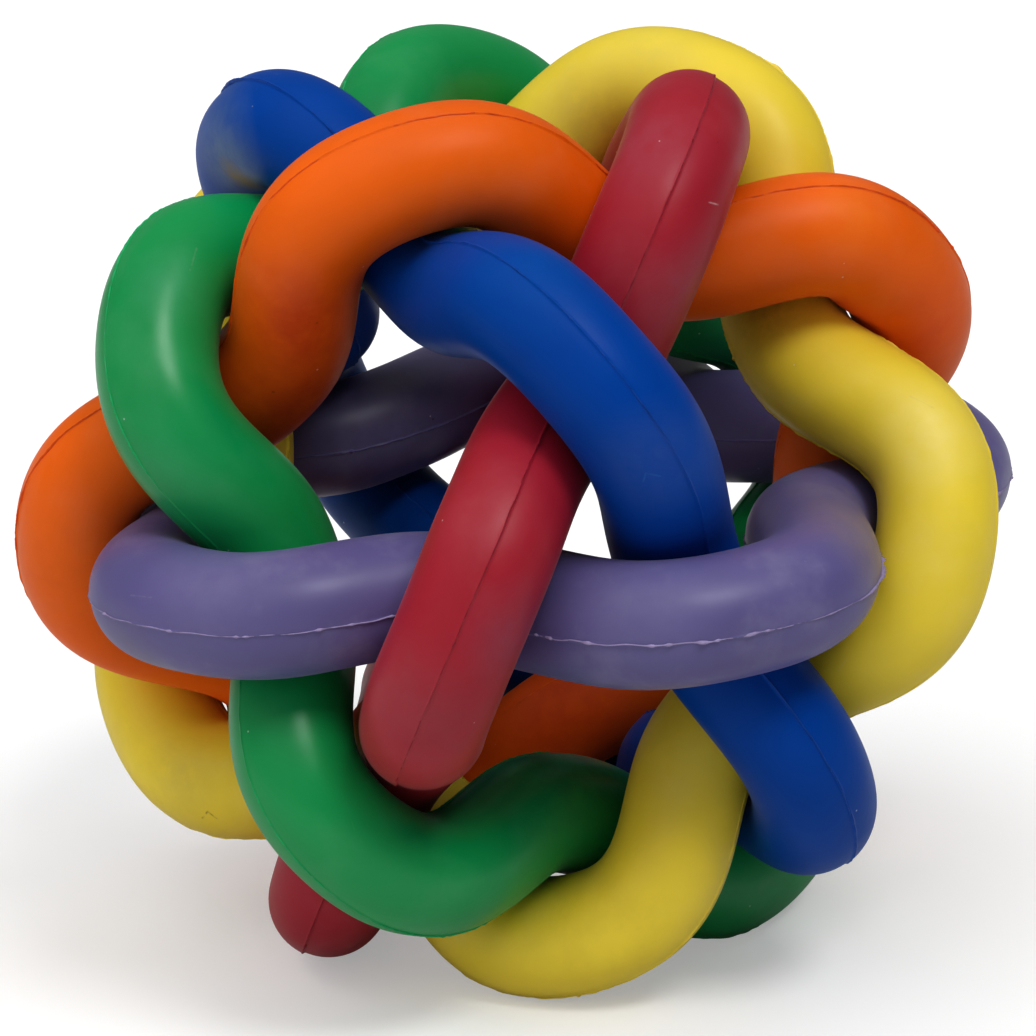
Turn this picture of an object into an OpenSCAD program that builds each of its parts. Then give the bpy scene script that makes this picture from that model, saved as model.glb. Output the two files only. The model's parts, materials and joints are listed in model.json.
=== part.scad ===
// Woven ball of six closed rubber rings, for grip, toss and chew play.
// Every ring is the same wavy moulding. Where two rings cross, a crest of one passes over a
// hollow of the other, so each ring goes over and under in turn and none can come away.
// Origin at the ball's centre, +Z up along the axis of the level ring, +X through one of its crests.

/* [Ball] */
// Diameter of the ball over the crests of its rings
ball_d = 100; // [100:1:120]
// Diameter of the round rubber strand
strand_d = 11.6; // [8:0.1:11.6]

/* [Wave of a ring] */
// Height of the crests above the mean line and depth of the hollows below it
wave = 6.35; // [6.35:0.05:6.6]
// How far the strand sways out of the ring's own plane between a crest and a hollow
sway = 0.75; // [0.7:0.05:0.85]

/* [Hidden] */

// Crests on a ring, one for each of the other five rings that it passes over
crests = 5;
crest_step = 360 / crests;
// Small ripples on the wave that round its crests and steepen its flanks
wave_2 = -0.2;
wave_3 = -0.35;
sway_2 = -0.15;
lean_2 = 0.6;
mean_r = ball_d / 2 - strand_d / 2 - wave - wave_2 - wave_3;
// Angle between the axes of any two rings, as between two long diagonals of an icosahedron
axis_tilt = atan(2);
quarter_step = crest_step / 4;
// Flat faces round the strand and rounds of points along it
sides = 16;
stations = 20 * crests;

function unit(v) = v / norm(v);

// Point on the strand's centre line at the angle a round the ring
function centre(a) =
    let (
        r = mean_r + wave * cos(crests * a) + wave_2 * cos(2 * crests * a) + wave_3 * cos(3 * crests * a),
        turn = a + lean_2 * sin(2 * crests * a),
        rise = sway * sin(crests * a) + sway_2 * sin(2 * crests * a)
    )
    [r * cos(turn), r * sin(turn), rise];

// Points round the strand's skin at the angle a, square to its centre line
function skin_round(a) =
    let (
        nudge = 0.01,
        along = unit(centre(a + nudge) - centre(a - nudge)),
        outward = unit(cross(along, [0, 0, 1])),
        across = cross(outward, along)
    )
    [for (k = [0:sides - 1])
        let (b = 360 * k / sides)
        centre(a) + strand_d / 2 * (cos(b) * outward + sin(b) * across)];

// One closed ring, level, with a crest on +X
module wavy_ring() {
    points = [for (i = [0:stations - 1]) each skin_round(360 * i / stations)];
    total = stations * sides;
    faces = [for (i = [0:stations - 1], k = [0:sides - 1])
        let (next = (k + 1) % sides, ahead = (i + 1) * sides)
        [i * sides + k, i * sides + next, (ahead + next) % total, (ahead + k) % total]];
    polyhedron(points, faces);
}

// The slanted rings stand round the level ring, one crest step apart
module slanted_ring(place) {
    rotate([0, 0, quarter_step + place * crest_step])
        rotate([0, axis_tilt, 0])
            rotate([0, 0, quarter_step])
                wavy_ring();
}

module blue_ring() {
    color("royalblue") slanted_ring(0);
}

module orange_ring() {
    color("darkorange") slanted_ring(1);
}

module red_ring() {
    color("crimson") slanted_ring(2);
}

module yellow_ring() {
    color("gold") slanted_ring(3);
}

module green_ring() {
    color("seagreen") slanted_ring(4);
}

module purple_ring() {
    color("slateblue") wavy_ring();
}

red_ring();
orange_ring();
yellow_ring();
green_ring();
blue_ring();
purple_ring();
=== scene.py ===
"""Looks of a ball woven from six closed rubber rings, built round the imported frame.

Every ring is the same wavy moulding. Its centre line follows the rule that the frame's rings
follow, and its skin adds what moulded rubber has: the step and the thin flash where the two
mould halves met, uneven thickness, and flats where two rings press on each other. Every ring is
made level and then turned to its place in the weave.

Lengths are in metres. A place on a ring is two angles in degrees: along the ring from its first
crest, and round the strand from its outermost line.
"""

import json
import math

import bpy
import numpy as np
from mathutils import Matrix, Vector


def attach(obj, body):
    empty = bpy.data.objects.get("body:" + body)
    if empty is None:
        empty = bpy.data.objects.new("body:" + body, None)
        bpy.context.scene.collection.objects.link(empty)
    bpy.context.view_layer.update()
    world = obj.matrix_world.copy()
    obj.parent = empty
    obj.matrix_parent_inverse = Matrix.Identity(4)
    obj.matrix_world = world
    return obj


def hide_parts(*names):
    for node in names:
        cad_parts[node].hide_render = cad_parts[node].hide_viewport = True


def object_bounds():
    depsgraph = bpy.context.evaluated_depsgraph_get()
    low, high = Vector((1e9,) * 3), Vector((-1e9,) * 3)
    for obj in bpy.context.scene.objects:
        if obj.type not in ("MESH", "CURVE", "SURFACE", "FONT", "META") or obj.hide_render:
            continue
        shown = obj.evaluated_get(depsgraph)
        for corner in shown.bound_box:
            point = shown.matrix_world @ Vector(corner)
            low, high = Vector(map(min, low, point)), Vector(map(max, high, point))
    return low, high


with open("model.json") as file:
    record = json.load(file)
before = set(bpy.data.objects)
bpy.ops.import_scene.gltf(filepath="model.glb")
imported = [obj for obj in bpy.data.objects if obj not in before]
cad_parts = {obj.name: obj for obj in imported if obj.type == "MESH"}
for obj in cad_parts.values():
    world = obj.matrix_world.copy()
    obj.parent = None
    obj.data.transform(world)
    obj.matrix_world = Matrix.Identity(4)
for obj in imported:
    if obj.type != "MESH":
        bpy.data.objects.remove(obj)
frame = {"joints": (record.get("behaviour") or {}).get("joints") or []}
cad_low, cad_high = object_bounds()

MM = 0.001

# ---------------------------------------------------------------- the shape of one ring

CRESTS = 5
CREST_STEP = 2 * math.pi / CRESTS
CAD_STRAND_R = 5.8 * MM
STRAND_R = 5.88 * MM
# Heights of the waves out from the ball, and sideways out of the ring's own plane
WAVES = (6.35 * MM, -0.2 * MM, -0.35 * MM)
SWAYS = (0.75 * MM, -0.15 * MM)
# How far the flanks of the crests lean along the ring
LEAN = math.radians(0.6)
# The ball's size sets how far the middle of the wave is from the ball's centre
BALL_R = (cad_high.x - cad_low.x) / 2
MEAN_R = BALL_R - CAD_STRAND_R - sum(WAVES)

# Rounds of points along one crest step of the strand, along the whole strand and along its flash
STEP_STATIONS = 168
STATIONS = STEP_STATIONS * CRESTS
FIN_STATIONS = 520 * CRESTS
# Sides of the strand's section between the close ones at one parting line and at the other
EVEN_SIDES = 37
# Half width of the raised parting line, as an angle round the strand
PARTING_WIDTH = math.radians(1.1)
# How far the strand's thickness wanders, and how many waves add up to that
UNEVENNESS = 0.035 * MM
UNEVEN_WAVES = 14
# Fewest and most of those waves along the ring, and most round the strand
UNEVEN_ALONG = (4, 22)
UNEVEN_ROUND = 2
# Gap left between two rings at the ends of their creep, and how softly the flat there runs out
PRESS_GAP = 0.05 * MM
PRESS_SOFTNESS = 0.12 * MM
# Range in which the strand's radius is sought at a flat, and how often the range is halved
PRESSED_R = STRAND_R - 1 * MM
SWOLLEN_R = STRAND_R + 0.6 * MM
HALVINGS = 11
# Points on a neighbour's centre line, and how near they have to be to matter
LINE_POINTS = 600
NEAR = 2 * STRAND_R + 2.5 * MM
# How far along the ring from a crossing a parting line is flat, and from where it is free
FLAT_TO = math.radians(4.5)
FREE_FROM = math.radians(11)
# Height of the flash where a neighbour presses it down, and depth of its root in the strand
FIN_LEAST = 0.02 * MM
FIN_ROOT = 0.25 * MM
# How far round the strand a bulge beside a flat reaches
BULGE_ROUND = math.radians(45)


def centre_line(a):
    """Points of a level ring's centre line at the angles a, with a crest on +X."""
    r = MEAN_R + sum(w * np.cos((k + 1) * CRESTS * a) for k, w in enumerate(WAVES))
    turn = a + LEAN * np.sin(2 * CRESTS * a)
    rise = sum(s * np.sin((k + 1) * CRESTS * a) for k, s in enumerate(SWAYS))
    return np.stack([r * np.cos(turn), r * np.sin(turn), rise], axis=-1)


def unit(v):
    return v / np.linalg.norm(v, axis=-1, keepdims=True)


def strand_frame(a):
    """Centre, outward and across directions of the strand at the angles a."""
    nudge = 1e-4  # radians
    along = unit(centre_line(a + nudge) - centre_line(a - nudge))
    outward = unit(np.cross(along, [0.0, 0.0, 1.0]))
    across = np.cross(outward, along)
    return centre_line(a), outward, across


def section_angles():
    """Angles round the strand, close together at the two parting lines and even between them."""
    fine = np.radians([0.0, 0.35, 0.8, 1.5, 2.6, 4.2])
    even = np.linspace(fine[-1], math.pi - fine[-1], EVEN_SIDES + 1)[1:-1]
    half = np.concatenate([fine, even, math.pi - fine[::-1]])
    return np.concatenate([half[:-1], math.pi + half[:-1]])


SECTION = section_angles()


def turn_z(degrees):
    return np.array(Matrix.Rotation(math.radians(degrees), 3, "Z"))


def ring_turn(axis):
    """The turn that carries a level ring to the ring with that axis."""
    x, y, z = axis
    if z > 0.999:
        return np.eye(3)
    tilt = np.array(Matrix.Rotation(math.acos(z), 3, "Y"))
    quarter = math.degrees(CREST_STEP) / 4
    return turn_z(math.degrees(math.atan2(y, x))) @ tilt @ turn_z(quarter)


AXES = {"purple": (0.0, 0.0, 1.0)}
for joint in frame["joints"]:
    AXES[joint["child"].split("_")[0]] = joint["axis"]
CREEP = max(joint["range_deg"][1] for joint in frame["joints"])


def room_for_strand():
    """How thick the strand may be, all round and along the ring, before it meets a neighbour.

    It holds for every pair of creeps. All crossings of the weave are alike, so the level ring's
    first crest step serves every ring.
    """
    turns = [ring_turn(axis) for name, axis in AXES.items() if name != "purple"]
    line = centre_line(np.linspace(0, 2 * math.pi, LINE_POINTS, endpoint=False))
    creeps = [(0, 0), (CREEP, CREEP), (CREEP, -CREEP), (-CREEP, CREEP), (-CREEP, -CREEP)]
    others = np.concatenate(
        [line @ (turn_z(own) @ turn @ turn_z(its)).T for turn in turns for own, its in creeps])
    centres, outward, across = strand_frame(np.arange(STEP_STATIONS) * CREST_STEP / STEP_STATIONS)
    radius = np.empty((STEP_STATIONS, len(SECTION)))
    for i, c in enumerate(centres):
        near = others[np.linalg.norm(others - c, axis=1) < NEAR]
        direction = np.outer(np.cos(SECTION), outward[i]) + np.outer(np.sin(SECTION), across[i])
        low = np.full(len(SECTION), PRESSED_R)
        high = np.full(len(SECTION), SWOLLEN_R)
        if len(near):
            for _ in range(HALVINGS):
                middle = (low + high) / 2
                points = c + middle[:, None] * direction
                away = np.linalg.norm(points[:, None] - near[None], axis=2).min(axis=1)
                free = away - middle > PRESS_GAP
                low = np.where(free, middle, low)
                high = np.where(free, high, middle)
        radius[i] = low if len(near) else high
    return np.tile(radius, (CRESTS, 1))


ROOM = room_for_strand()


def pressed(radius, room):
    """The radius let in wherever the room is less, with a soft edge to the flat."""
    share = np.clip(0.5 + 0.5 * (radius - room) / PRESS_SOFTNESS, 0, 1)
    return radius * (1 - share) + room * share - PRESS_SOFTNESS * share * (1 - share)


def smooth_step(low, high, x):
    t = np.clip((x - low) / (high - low), 0, 1)
    return t * t * (3 - 2 * t)


def hump(a, middle, reach):
    """A rounded hump of height 1 in the middle, on the closed run of angles a."""
    gap = np.abs((a - middle + math.pi) % (2 * math.pi) - math.pi)
    return np.exp(-((gap / reach) ** 2))


def periodic_noise(rng, count, slowest, fastest):
    """A smooth random curve that closes on itself, with a spread of 1."""
    waves = np.arange(slowest, fastest + 1)
    size = rng.normal(size=len(waves)) / np.sqrt(waves)
    phase = rng.uniform(0, 2 * math.pi, len(waves))
    t = np.arange(count) * 2 * math.pi / count
    curve = (size[:, None] * np.cos(np.outer(waves, t) + phase[:, None])).sum(axis=0)
    return curve / curve.std()


def surface_noise(rng, a, b, waves_along, waves_round):
    """A smooth random field over a ring's skin, with a spread of 1."""
    field = np.zeros((len(a), len(b)))
    for _ in range(UNEVEN_WAVES):
        m = rng.integers(waves_along[0], waves_along[1] + 1)
        n = rng.integers(0, waves_round + 1)
        phase, phase_2 = rng.uniform(0, 2 * math.pi, 2)
        field += np.outer(np.cos(m * a + phase), np.cos(n * b + phase_2))
    return field / field.std()


def loop_faces(rounds, sides):
    """Faces of a closed tube, as rows of four point numbers."""
    i, k = np.meshgrid(np.arange(rounds), np.arange(sides), indexing="ij")
    ahead, beside = (i + 1) % rounds, (k + 1) % sides
    quads = [i * sides + k, i * sides + beside, ahead * sides + beside, ahead * sides + k]
    return np.stack([q.ravel() for q in quads], axis=1)


def mesh_object(name, points, faces, turn):
    mesh = bpy.data.meshes.new(name)
    mesh.from_pydata((points @ turn.T).tolist(), [], faces.tolist())
    mesh.polygons.foreach_set("use_smooth", np.ones(len(faces), bool))
    mesh.update()
    made = bpy.data.objects.new(name, mesh)
    bpy.context.scene.collection.objects.link(made)
    return made


# ---------------------------------------------------------------- strand and flash of one ring


def open_share(a, side):
    """1 where a parting line is free, falling to 0 where a neighbour presses it flat.

    Side is 1 for the outer line, pressed in the hollows, and -1 for the inner line.
    """
    contact = CREST_STEP / 2 if side > 0 else 0.0
    from_contact = np.abs((a - contact + CREST_STEP / 2) % CREST_STEP - CREST_STEP / 2)
    return smooth_step(FLAT_TO, FREE_FROM, from_contact)


def strand_points(rng, step, ridge, bulges):
    """Skin points of a level ring, one round of them for each station.

    Each bulge is a place on the ring, how far it reaches along the ring and how far it rises.
    """
    a = np.arange(STATIONS) * 2 * math.pi / STATIONS
    centres, outward, across = strand_frame(a)
    swell = UNEVENNESS * surface_noise(rng, a, SECTION, UNEVEN_ALONG, UNEVEN_ROUND)
    parting = np.tanh(np.sin(SECTION) / PARTING_WIDTH)
    halves = step * np.cos(SECTION) * parting
    radius = STRAND_R + swell + halves[None, :]
    # Each parting line is a fine ridge of uneven height
    for side in (1, -1):
        tall = ridge * np.clip(0.85 + 0.35 * periodic_noise(rng, STATIONS, 8, 260), 0.25, 1.7)
        line = np.exp(-((np.sin(SECTION) / PARTING_WIDTH) ** 2)) * (side * np.cos(SECTION) > 0)
        radius = radius + np.outer(tall * open_share(a, side), line)
    for along, round_, reach, rise in bulges:
        beside = hump(SECTION, math.radians(round_), BULGE_ROUND)
        radius = radius + rise * np.outer(hump(a, math.radians(along), math.radians(reach)), beside)
    radius = pressed(radius, ROOM)
    return (
        centres[:, None]
        + (radius * np.cos(SECTION))[..., None] * outward[:, None]
        + (radius * np.sin(SECTION))[..., None] * across[:, None]
    )


def skin_point(along, round_):
    """A point on a level ring's skin, by its angles along the ring and round the strand."""
    centres, outward, across = strand_frame(np.radians([along]))
    r = math.radians(round_)
    return centres[0] + STRAND_R * (math.cos(r) * outward[0] + math.sin(r) * across[0])


def fin_points(rng, side, flash):
    """Points of the flash on one parting line: side is 1 for the outer line, -1 for the inner."""
    a = np.arange(FIN_STATIONS) * 2 * math.pi / FIN_STATIONS
    centres, outward, across = strand_frame(a)
    free = open_share(a, side)
    ragged = periodic_noise(rng, FIN_STATIONS, 40, 700)
    slow = periodic_noise(rng, FIN_STATIONS, 3, 30)
    tall = flash["height"] * np.clip(0.85 + 0.2 * slow + flash["ragged"] * ragged, 0.35, 2.0)
    # Nibs are fine threads that stick up; lips are longer torn edges at places of their own
    nibs = np.zeros(FIN_STATIONS)
    for at in rng.uniform(0, 2 * math.pi, flash["nibs"]):
        width = rng.uniform(0.1, 0.2) * MM / MEAN_R
        nibs += rng.uniform(0.5, 1.0) * hump(a, at, width)
    lips = np.zeros(FIN_STATIONS)
    for at, reach, rise in flash["lips"]:
        lips += rise * MM * hump(a, math.radians(at), math.radians(reach))
    # The flash is thicker at its nibs and its lips
    thick = 1 + 1.8 * np.minimum(nibs, 1) + lips / (0.25 * MM)
    wander = flash["wander"] * periodic_noise(rng, FIN_STATIONS, 6, 160) * free
    column = 0 if side > 0 else len(SECTION) // 2
    turns = np.arange(STATIONS + 1) * 2 * math.pi / STATIONS
    room = np.interp(a, turns, np.append(ROOM[:, column], ROOM[0, column]))
    skin = pressed(STRAND_R, room)
    height = (tall + nibs * flash["nib_height"] + lips) * free + FIN_LEAST
    height = np.clip(height, FIN_LEAST, np.maximum(room - skin, FIN_LEAST))
    half = flash["width"] / 2
    # Corners of the flash's section: how far sideways, how deep, and what share of its height
    corners = [
        (-half, FIN_ROOT, 0), (-half, 0, 0.25), (-0.35 * half, 0, 0.85),
        (0.2 * half, 0, 1), (half, 0, 0.2), (half, FIN_ROOT, 0),
    ]
    rounds = []
    for sideways, depth, share in corners:
        rise = skin - depth + share * height
        offset = wander + sideways * thick
        rounds.append(centres + (side * rise)[:, None] * outward + offset[:, None] * across)
    points = np.stack(rounds, axis=1)
    return points if side < 0 else points[:, ::-1]


# ---------------------------------------------------------------- materials

WHITE = (1.0, 1.0, 1.0)
DUST = (0.55, 0.52, 0.50)


def math_node(tree, kind, a, b):
    node = tree.nodes.new("ShaderNodeMath")
    node.operation = kind
    for socket, value in zip(node.inputs, (a, b)):
        if isinstance(value, (int, float)):
            socket.default_value = value
        else:
            tree.links.new(value, socket)
    return node.outputs["Value"]


class Nodes:
    """Short ways to make and join the nodes of one material."""

    def __init__(self, name):
        self.material = bpy.data.materials.new(name)
        self.material.use_nodes = True
        self.tree = self.material.node_tree
        self.shader = self.tree.nodes["Principled BSDF"]
        self.place = self.tree.nodes.new("ShaderNodeTexCoord").outputs["Object"]

    def join(self, source, target):
        self.tree.links.new(source, target)

    def noise(self, size, detail=3.0, roughness=0.5):
        """Noise whose patches are about that size, in metres."""
        node = self.tree.nodes.new("ShaderNodeTexNoise")
        node.inputs["Scale"].default_value = 1 / size
        node.inputs["Detail"].default_value = detail
        node.inputs["Roughness"].default_value = roughness
        self.join(self.place, node.inputs["Vector"])
        return node.outputs["Fac"]

    def spread(self, value, low, high, to_low=0.0, to_high=1.0):
        """The value stretched from the first range to the second and held inside it."""
        node = self.tree.nodes.new("ShaderNodeMapRange")
        node.inputs["From Min"].default_value = low
        node.inputs["From Max"].default_value = high
        node.inputs["To Min"].default_value = to_low
        node.inputs["To Max"].default_value = to_high
        self.join(value, node.inputs["Value"])
        return node.outputs["Result"]

    def math(self, kind, a, b):
        return math_node(self.tree, kind, a, b)

    def mix(self, share, a, b):
        """Colour a with that share of colour b; each may be a number, a colour or an output."""
        node = self.tree.nodes.new("ShaderNodeMix")
        node.data_type = "RGBA"
        # The sockets are numbered because those for colours share their names with others
        for key, value in ((0, share), (6, a), (7, b)):
            socket = node.inputs[key]
            if isinstance(value, (int, float)):
                socket.default_value = value
            elif isinstance(value, tuple):
                socket.default_value = (*value, 1.0)
            else:
                self.join(value, socket)
        return node.outputs[2]

    def specks(self, size, share):
        """Sparse round specks of about that size: 1 on a speck and 0 off it.

        Each cell is nine specks wide, and that share of the cells holds a speck.
        """
        cells = self.tree.nodes.new("ShaderNodeTexVoronoi")
        cells.inputs["Scale"].default_value = 1 / (size * 9)
        self.join(self.place, cells.inputs["Vector"])
        split = self.tree.nodes.new("ShaderNodeSeparateColor")
        self.join(cells.outputs["Color"], split.inputs["Color"])
        chosen = self.math("LESS_THAN", split.outputs["Red"], share)
        small = self.spread(cells.outputs["Distance"], 0.09, 0.05)
        return self.math("MULTIPLY", chosen, small)

    def patch(self, middle, size):
        """1 at a place on the ball, fading to 0 at that distance from it, broken up by clouds."""
        away = self.vector_math("DISTANCE", self.place, Vector(middle), "Value")
        near = self.spread(away, size, 0.2 * size)
        clouds = self.spread(self.noise(0.35 * size, 4, 0.6), 0.25, 0.6, 0.35)
        return self.math("MULTIPLY", near, clouds)

    def vector_math(self, kind, a, b, output="Vector"):
        node = self.tree.nodes.new("ShaderNodeVectorMath")
        node.operation = kind
        self.join(a, node.inputs[0])
        if isinstance(b, Vector):
            node.inputs[1].default_value = b
        else:
            self.join(b, node.inputs[1])
        return node.outputs[output]

    def scratch(self, start, end, width):
        """1 along a short straight scuff, fading to 0 at that distance, with breaks in it."""
        run = Vector(end) - Vector(start)
        from_start = self.vector_math("SUBTRACT", self.place, Vector(start))
        dot = self.vector_math("DOT_PRODUCT", from_start, run, "Value")
        share = self.spread(dot, 0, run.length_squared)
        along = self.tree.nodes.new("ShaderNodeVectorMath")
        along.operation = "SCALE"
        along.inputs[0].default_value = run
        self.join(share, along.inputs["Scale"])
        away = self.vector_math("DISTANCE", from_start, along.outputs["Vector"], "Value")
        near = self.spread(away, width, 0.3 * width)
        breaks = self.spread(self.noise(0.7 * MM, 3), 0.35, 0.6)
        return self.math("MULTIPLY", near, breaks)

    def bump(self, height, strength, distance, onto=None):
        node = self.tree.nodes.new("ShaderNodeBump")
        node.inputs["Strength"].default_value = strength
        node.inputs["Distance"].default_value = distance
        self.join(height, node.inputs["Height"])
        if onto is not None:
            self.join(onto, node.inputs["Normal"])
        return node.outputs["Normal"]


def shade(colour, factor):
    return tuple(min(1.0, c * factor) for c in colour)


def toward(colour, other, share):
    return tuple(c + (o - c) * share for c, o in zip(colour, other))


def rubber(name, colour, bloom, finish, marks, scuffs):
    """Satin moulded rubber: cloudy pigment, a pale bloom, scuffs, dust specks and a fine skin.

    Finish is how much the rubber shines, how dull the shine is and how much its edges pale.
    Each mark is a place on the ball, its size, its colour and its strength; most marks are stains
    and dust, and some are painted shade, a painted highlight and painted light. Each scuff is two
    places, the width of the line between them, its colour and its strength.
    """
    gloss, dullness, edge = finish
    n = Nodes(name)
    clouds = n.spread(n.noise(16 * MM, 4), 0.3, 0.7)
    tone = n.mix(clouds, shade(colour, 0.9), shade(colour, 1.08))
    haze = n.spread(n.noise(9 * MM, 5, 0.6), 0.52, 0.8, 0.0, bloom)
    tone = n.mix(haze, tone, toward(colour, WHITE, 0.45))
    # Marks mixed into the base colour: stains and dust, and also painted shade, a painted highlight
    # and painted light.
    for middle, size, tint, strength in marks:
        tone = n.mix(n.math("MULTIPLY", n.patch(middle, size), strength), tone, tint)
    for start, end, width, tint, strength in scuffs:
        tone = n.mix(n.math("MULTIPLY", n.scratch(start, end, width), strength), tone, tint)
    pale = n.math("MULTIPLY", n.specks(0.16 * MM, 0.025), 0.6)
    tone = n.mix(pale, tone, toward(colour, WHITE, 0.55))
    dark = n.math("MULTIPLY", n.specks(0.22 * MM, 0.02), 0.7)
    tone = n.mix(dark, tone, shade(colour, 0.35))
    n.join(tone, n.shader.inputs["Base Color"])
    polish = n.spread(n.noise(6 * MM, 4), 0.3, 0.7, dullness - 0.05, dullness + 0.05)
    n.join(polish, n.shader.inputs["Roughness"])
    soft = n.bump(n.noise(3.5 * MM, 2), 0.25, 0.08 * MM)
    fine = n.bump(n.noise(0.22 * MM, 3), 0.25, 0.012 * MM, soft)
    n.join(fine, n.shader.inputs["Normal"])
    n.shader.inputs["Specular IOR Level"].default_value = gloss
    n.shader.inputs["Sheen Weight"].default_value = edge
    n.shader.inputs["Sheen Roughness"].default_value = 0.25
    return n.material


def torn_rubber(name, colour):
    """The thin flash: rubber in patches of two shades, torn rough."""
    n = Nodes(name)
    patches = n.spread(n.noise(1.1 * MM, 3), 0.35, 0.65)
    n.join(n.mix(patches, shade(colour, 0.9), shade(colour, 1.15)), n.shader.inputs["Base Color"])
    n.join(n.spread(n.noise(0.6 * MM, 2), 0.3, 0.7, 0.5, 0.7), n.shader.inputs["Roughness"])
    n.join(n.bump(n.noise(0.15 * MM, 2), 0.4, 0.02 * MM), n.shader.inputs["Normal"])
    n.shader.inputs["Specular IOR Level"].default_value = 0.35
    return n.material


# ---------------------------------------------------------------- the six rings

# First of the rings' random seeds
FIRST_SEED = 11
# Dust marks and faint scuffs at random places on each ring
DUST_MARKS = 3
FAINT_SCUFFS = 4


def flash(height, width, ragged, nibs, nib_height, wander, lips=()):
    """Looks of one line of flash, with its lengths in millimetres.

    Ragged is how much its height varies, nibs is how many there are, and wander is how far it
    strays sideways. Each lip is an angle along the ring, its reach in degrees and its rise.
    """
    return {
        "height": height * MM, "width": width * MM, "ragged": ragged,
        "nibs": nibs, "nib_height": nib_height * MM, "wander": wander * MM, "lips": lips,
    }
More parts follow.
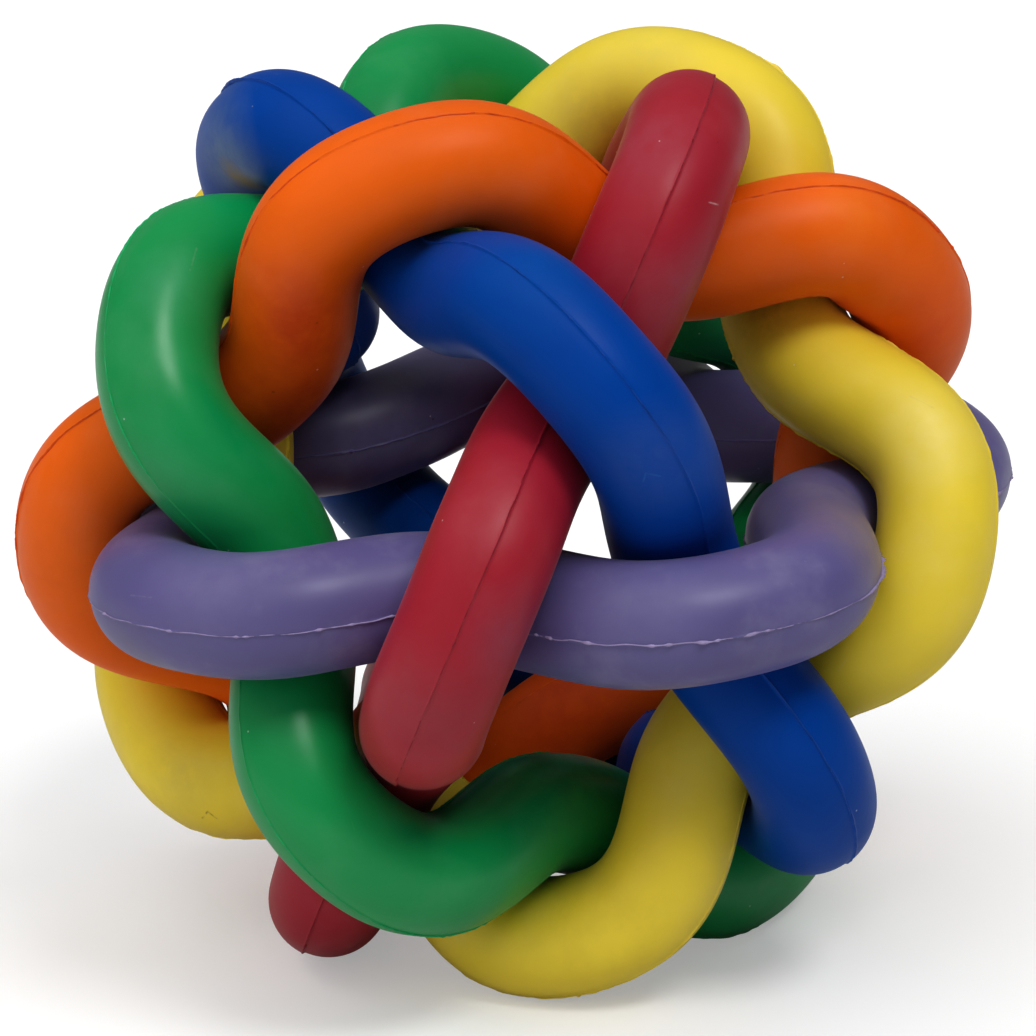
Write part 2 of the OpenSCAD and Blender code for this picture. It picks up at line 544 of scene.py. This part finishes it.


# The finish is how much the rubber shines, how dull the shine is and how much its edges pale.
# The step is between the mould halves, and the ridge is the raised line where they met. A mark is
# a place, a size in millimetres, a colour and a strength; the marks noted above their lines are
# painted shade, a painted highlight and painted light, and the rest are stains and dust. A scuff is
# two places, a width in millimetres, a colour and a strength. A bulge is a place, a reach along the
# ring in degrees and a rise.
RINGS = {
    "red": {
        "colour": (0.37, 0.017, 0.034), "flash_colour": (0.28, 0.013, 0.028),
        "finish": (0.32, 0.44, 0.08), "bloom": 0.05, "step": 0.09 * MM, "ridge": 0.13 * MM,
        "outer": flash(0.11, 0.12, 0.3, 24, 0.14, 0.03, [(151, 0.5, 0.18), (52, 0.5, 0.2)]),
        "inner": flash(0.10, 0.16, 0.2, 14, 0.15, 0.04),
        "marks": [
            (66, -20, 7, (0.25, 0.035, 0.05), 0.5), (68, 28, 6, (0.33, 0.06, 0.075), 0.4),
            (76, -55, 6, (0.24, 0.06, 0.11), 0.4), (138, 40, 7, (0.38, 0.09, 0.13), 0.35),
            (84, 25, 7, (0.40, 0.06, 0.08), 0.4), (128, -60, 6, (0.30, 0.06, 0.10), 0.4),
        ],
        "scuffs": [((135, -38), (135.6, -52), 0.12, (0.62, 0.42, 0.42), 0.8)],
    },
    "orange": {
        "colour": (0.82, 0.138, 0.004), "flash_colour": (0.66, 0.085, 0.006),
        "finish": (0.22, 0.46, 0.05), "bloom": 0.06, "step": 0.07 * MM, "ridge": 0.12 * MM,
        "outer": flash(0.10, 0.14, 0.2, 8, 0.12, 0.03),
        "inner": flash(0.12, 0.18, 0.3, 16, 0.2, 0.05),
        "marks": [
            # Painted shade: the dark red patches at (125, -85) and (328, -152) darken and redden
            # the orange where shade falls in its hollows.
            (125, -85, 9, (0.50, 0.035, 0.006), 0.65), (328, -152, 13, (0.50, 0.03, 0.012), 0.6),
            # Painted highlight: the paler, yellower patch at (205, -30) lies where a highlight
            # falls on the orange.
            (205, -30, 5, (0.86, 0.24, 0.04), 0.35), (74, -65, 9, (0.92, 0.17, 0.006), 0.5),
            # Painted shade: the dark red patches at (111, -125) and (221, -85) darken and redden
            # the orange's shaded lower leg.
            (111, -125, 11, (0.42, 0.03, 0.008), 0.8), (221, -85, 8, (0.66, 0.07, 0.006), 0.5),
        ],
        "scuffs": [((150, 20), (152, 30), 0.12, (0.90, 0.40, 0.16), 0.5)],
        "bulges": [(216, -158, 6, 0.5 * MM)],
    },
    "yellow": {
        "colour": (0.79, 0.605, 0.05), "flash_colour": (0.80, 0.60, 0.09),
        "finish": (0.33, 0.43, 0.06), "bloom": 0.12, "step": 0.06 * MM, "ridge": 0.16 * MM,
        "outer": flash(0.12, 0.14, 0.12, 10, 0.2, 0.03, [(139, 0.8, 0.25), (92.5, 1, 0.2)]),
        "inner": flash(0.18, 0.17, 0.15, 12, 0.22, 0.04),
        "marks": [
            # Painted light: the bright patches at (6, 78) and (294, 78) lighten the yellow's
            # down-facing parts, where shade falls.
            (6, 78, 15, (0.93, 0.72, 0.06), 0.8), (294, 78, 13, (0.93, 0.72, 0.06), 0.8),
            (160, 130, 7, (0.50, 0.36, 0.08), 0.5), (150, 60, 8, (0.66, 0.56, 0.12), 0.4),
            (299, 75, 5, (0.55, 0.44, 0.10), 0.4), (82, 65, 7, (0.84, 0.72, 0.26), 0.4),
            (26, 75, 8, (0.70, 0.58, 0.10), 0.4), (109, 85, 6, (0.22, 0.08, 0.02), 0.5),
        ],
        "scuffs": [
            ((84, 50), (86, 60), 0.14, (0.62, 0.50, 0.16), 0.5),
            ((301.4, 40), (302.2, 50), 0.14, (0.26, 0.17, 0.03), 0.8),
            ((302.2, 50), (302.9, 42), 0.14, (0.26, 0.17, 0.03), 0.8),
        ],
        "bulges": [(101, 12, 6, 0.5 * MM)],
    },
    "green": {
        "colour": (0.003, 0.29, 0.078), "flash_colour": (0.012, 0.36, 0.12),
        "finish": (0.48, 0.36, 0.07), "bloom": 0.06, "step": 0.05 * MM, "ridge": 0.11 * MM,
        "outer": flash(0.13, 0.12, 0.2, 9, 0.15, 0.03, [(210, 3, 0.12)]),
        "inner": flash(0.12, 0.15, 0.3, 18, 0.2, 0.05),
        "marks": [
            (244, 85, 8, (0.003, 0.22, 0.05), 0.5), (214, 62, 5, (0.05, 0.36, 0.16), 0.35),
            (322, 142, 12, (0.015, 0.09, 0.035), 0.8), (230, 30, 7, (0.02, 0.34, 0.12), 0.4),
        ],
        "scuffs": [((222, 38), (224, 28), 0.12, (0.03, 0.22, 0.08), 0.6)],
    },
    "blue": {
        "colour": (0.0, 0.060, 0.325), "flash_colour": (0.0, 0.058, 0.31),
        "finish": (0.11, 0.41, 0.04), "bloom": 0.0, "step": 0.06 * MM, "ridge": 0.14 * MM,
        "outer": flash(0.10, 0.12, 0.2, 9, 0.18, 0.03, [(144, 3, 0.2)]),
        "inner": flash(0.12, 0.16, 0.3, 16, 0.2, 0.05),
        "marks": [
            (146, -88, 8.5, (0.12, 0.19, 0.33), 0.85), (146, -110, 3.2, (0.24, 0.15, 0.05), 0.9),
            (208, 20, 9, (0.0, 0.085, 0.36), 0.5), (144, 30, 6, (0.04, 0.12, 0.30), 0.4),
            # Painted shade: the dark patch at (54, -150) darkens the blue inside the ball, where
            # shade falls.
            (54, -150, 15, (0.0, 0.035, 0.15), 0.7),
        ],
        "scuffs": [
            ((227, -37), (226.4, -31), 0.13, (0.03, 0.16, 0.42), 0.6),
            ((226.4, -31), (227.2, -21), 0.13, (0.03, 0.16, 0.42), 0.6),
        ],
    },
    "purple": {
        "colour": (0.125, 0.108, 0.268), "flash_colour": (0.30, 0.25, 0.42),
        "finish": (0.42, 0.41, 0.08), "bloom": 0.2, "step": 0.05 * MM, "ridge": 0.09 * MM,
        "outer": flash(0.13, 0.13, 0.4, 110, 0.24, 0.045, [(302, 7, 0.12), (302, 1.3, 0.16)]),
        "inner": flash(0.12, 0.14, 0.4, 40, 0.15, 0.05),
        "marks": [
            (301, 52, 7, (0.20, 0.15, 0.20), 0.7), (299, 25, 5, (0.20, 0.16, 0.22), 0.6),
            (293, 42, 1.6, (0.30, 0.28, 0.46), 0.3), (308, 110, 7, (0.14, 0.12, 0.20), 0.6),
            (222, 45, 8, (0.19, 0.17, 0.33), 0.5), (277, 50, 8, (0.18, 0.17, 0.33), 0.5),
            # Painted shade: the dark patch at (112, 150) darkens the purple inside the ball, where
            # shade falls.
            (213, -40, 6, (0.17, 0.15, 0.22), 0.5), (112, 150, 14, (0.085, 0.072, 0.15), 0.7),
            (293, 40, 6, (0.10, 0.09, 0.23), 0.4), (305, 20, 3.5, (0.26, 0.18, 0.11), 0.5),
        ],
        "scuffs": [
            ((292, 52), (293.6, 28), 0.13, (0.36, 0.34, 0.54), 0.8),
            ((289.5, 36), (290.6, 20), 0.12, (0.34, 0.32, 0.52), 0.7),
            ((255, -38), (256, -54), 0.13, (0.34, 0.32, 0.52), 0.8),
        ],
    },
}


def wear_and_painted_light_places(rng, looks, turn):
    """Marks and scuffs of one ring: those at places of their own and those at random places."""
    # The listed marks are stains and dust, and also painted shade, a painted highlight and painted
    # light; the random ones are dust.
    marks = [(turn @ skin_point(along, round_), size * MM, tint, strength)
             for along, round_, size, tint, strength in looks["marks"]]
    for _ in range(DUST_MARKS):
        middle = turn @ skin_point(rng.uniform(0, 360), rng.uniform(-110, 110))
        marks.append((middle, rng.uniform(4, 8) * MM, toward(looks["colour"], DUST, 0.1), 0.4))
    scuffs = [(turn @ skin_point(*start), turn @ skin_point(*end), width * MM, tint, strength)
              for start, end, width, tint, strength in looks["scuffs"]]
    for _ in range(FAINT_SCUFFS):
        along, round_ = rng.uniform(0, 360), rng.uniform(-90, 90)
        start = turn @ skin_point(along, round_)
        end = turn @ skin_point(along + rng.uniform(1, 3), round_ + rng.uniform(-14, 14))
        scuffs.append((start, end, 0.12 * MM, toward(looks["colour"], DUST, 0.22), 0.6))
    return marks, scuffs


def make_ring(name, looks, seed):
    """One rubber ring and the two lines of flash on it, riding on the ring's own body."""
    rng = np.random.default_rng(seed)
    node = name + "_ring"
    turn = ring_turn(AXES[name])
    skin = strand_points(rng, looks["step"], looks["ridge"], looks.get("bulges", ()))
    faces = loop_faces(STATIONS, len(SECTION))
    strand = mesh_object(name + "_strand", skin.reshape(-1, 3), faces, turn)
    marks, scuffs = wear_and_painted_light_places(rng, looks, turn)
    strand.data.materials.append(
        rubber(name + " rubber", looks["colour"], looks["bloom"], looks["finish"], marks, scuffs))
    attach(strand, node)
    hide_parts(node)
    torn = {
        "outer": torn_rubber(name + " outer flash", looks["flash_colour"]),
        "inner": torn_rubber(name + " inner flash", shade(looks["colour"], 0.9)),
    }
    for line, side in (("outer", 1), ("inner", -1)):
        points = fin_points(rng, side, looks[line])
        faces = loop_faces(FIN_STATIONS, points.shape[1])
        fin = mesh_object(f"{name}_{line}_flash", points.reshape(-1, 3), faces, turn)
        fin.data.materials.append(torn[line])
        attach(fin, node)


for seed, (name, looks) in enumerate(RINGS.items(), start=FIRST_SEED):
    make_ring(name, looks, seed)


# ---------------------------------------------------------------- floor, light and camera

FLOOR_R = 3.0
# How much light the floor adds of its own, for the camera only, as on a light table
FLOOR_GLOW = 0.30
# Strength of the white room in reflections, and of the little light that it adds
SKY_SHINE = 0.18
SKY_FILL = 0.03


def make_floor():
    low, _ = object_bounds()
    bpy.ops.mesh.primitive_circle_add(
        vertices=96, radius=FLOOR_R, fill_type="NGON", location=(0, 0, low.z))
    floor = bpy.context.object
    floor.name = "floor"
    n = Nodes("pale floor")
    n.shader.inputs["Base Color"].default_value = (0.70, 0.70, 0.70, 1)
    n.shader.inputs["Roughness"].default_value = 0.9
    n.shader.inputs["Specular IOR Level"].default_value = 0.1
    n.shader.inputs["Emission Color"].default_value = (1, 1, 1, 1)
    path = n.tree.nodes.new("ShaderNodeLightPath")
    glow = n.math("MULTIPLY", path.outputs["Is Camera Ray"], FLOOR_GLOW)
    n.join(glow, n.shader.inputs["Emission Strength"])
    floor.data.materials.append(n.material)


def soft_light(name, azimuth, elevation, spread, power, shines=True):
    """Even light from a wide patch overhead; azimuth 0 is in front of the ball, on -Y.

    Angles are in degrees, and the spread is how wide the patch looks from the ball. A light that
    doesn't shine leaves no highlight.
    """
    light = bpy.data.lights.new(name, "SUN")
    light.angle = math.radians(spread)
    light.energy = power
    a, e = math.radians(azimuth), math.radians(elevation)
    toward_light = Vector((math.sin(a) * math.cos(e), -math.cos(a) * math.cos(e), math.sin(e)))
    lamp = bpy.data.objects.new(name, light)
    lamp.rotation_euler = toward_light.to_track_quat("Z", "Y").to_euler()
    lamp.visible_glossy = shines
    bpy.context.scene.collection.objects.link(lamp)


def make_sky():
    """A white room: white to the camera, pale in reflections, and adding little light itself."""
    world = bpy.data.worlds.new("white room")
    bpy.context.scene.world = world
    world.use_nodes = True
    tree = world.node_tree
    room = tree.nodes["Background"]
    room.inputs["Color"].default_value = (1, 1, 1, 1)
    path = tree.nodes.new("ShaderNodeLightPath")
    shine = math_node(tree, "MULTIPLY", path.outputs["Is Glossy Ray"], SKY_SHINE)
    seen = math_node(tree, "MAXIMUM", path.outputs["Is Camera Ray"], shine)
    tree.links.new(math_node(tree, "MAXIMUM", seen, SKY_FILL), room.inputs["Strength"])


# The camera's azimuth is 0 in front of the ball, on -Y
CAMERA_AZIMUTH = math.radians(-10.0)
CAMERA_ELEVATION = math.radians(16.85)
CAMERA_ROLL = math.radians(-2.45)
CAMERA_DISTANCE = 425 * MM
CAMERA_LENS = 147.8
# The camera's axis passes just below the middle of the ball
CAMERA_DROP = 2.0 * MM


def make_camera():
    a, e = CAMERA_AZIMUTH, CAMERA_ELEVATION
    back = Vector((math.sin(a) * math.cos(e), -math.cos(a) * math.cos(e), math.sin(e)))
    level = Vector((math.cos(a), math.sin(a), 0))
    above = back.cross(level)
    right = level * math.cos(CAMERA_ROLL) + above * math.sin(CAMERA_ROLL)
    up = back.cross(right)
    camera = bpy.data.objects.new("camera", bpy.data.cameras.new("camera"))
    camera.data.lens = CAMERA_LENS
    camera.data.sensor_width = 36
    camera.data.clip_start = 0.01
    turn = Matrix((right, up, back)).transposed()
    place = Matrix.Translation(back * CAMERA_DISTANCE - up * CAMERA_DROP)
    camera.matrix_world = place @ turn.to_4x4()
    bpy.context.scene.collection.objects.link(camera)
    bpy.context.scene.camera = camera


make_floor()
make_sky()
make_camera()
soft_light("key light", 26, 57, 20, 0.98)
soft_light("ceiling light", 0, 89, 80, 1.1, shines=False)
soft_light("side light", -62, 45, 85, 1.15, shines=False)
soft_light("front light", -10, 12, 50, 0.1, shines=False)
bpy.context.scene.view_settings.view_transform = "Standard"
bpy.context.scene.view_settings.look = "Medium High Contrast"
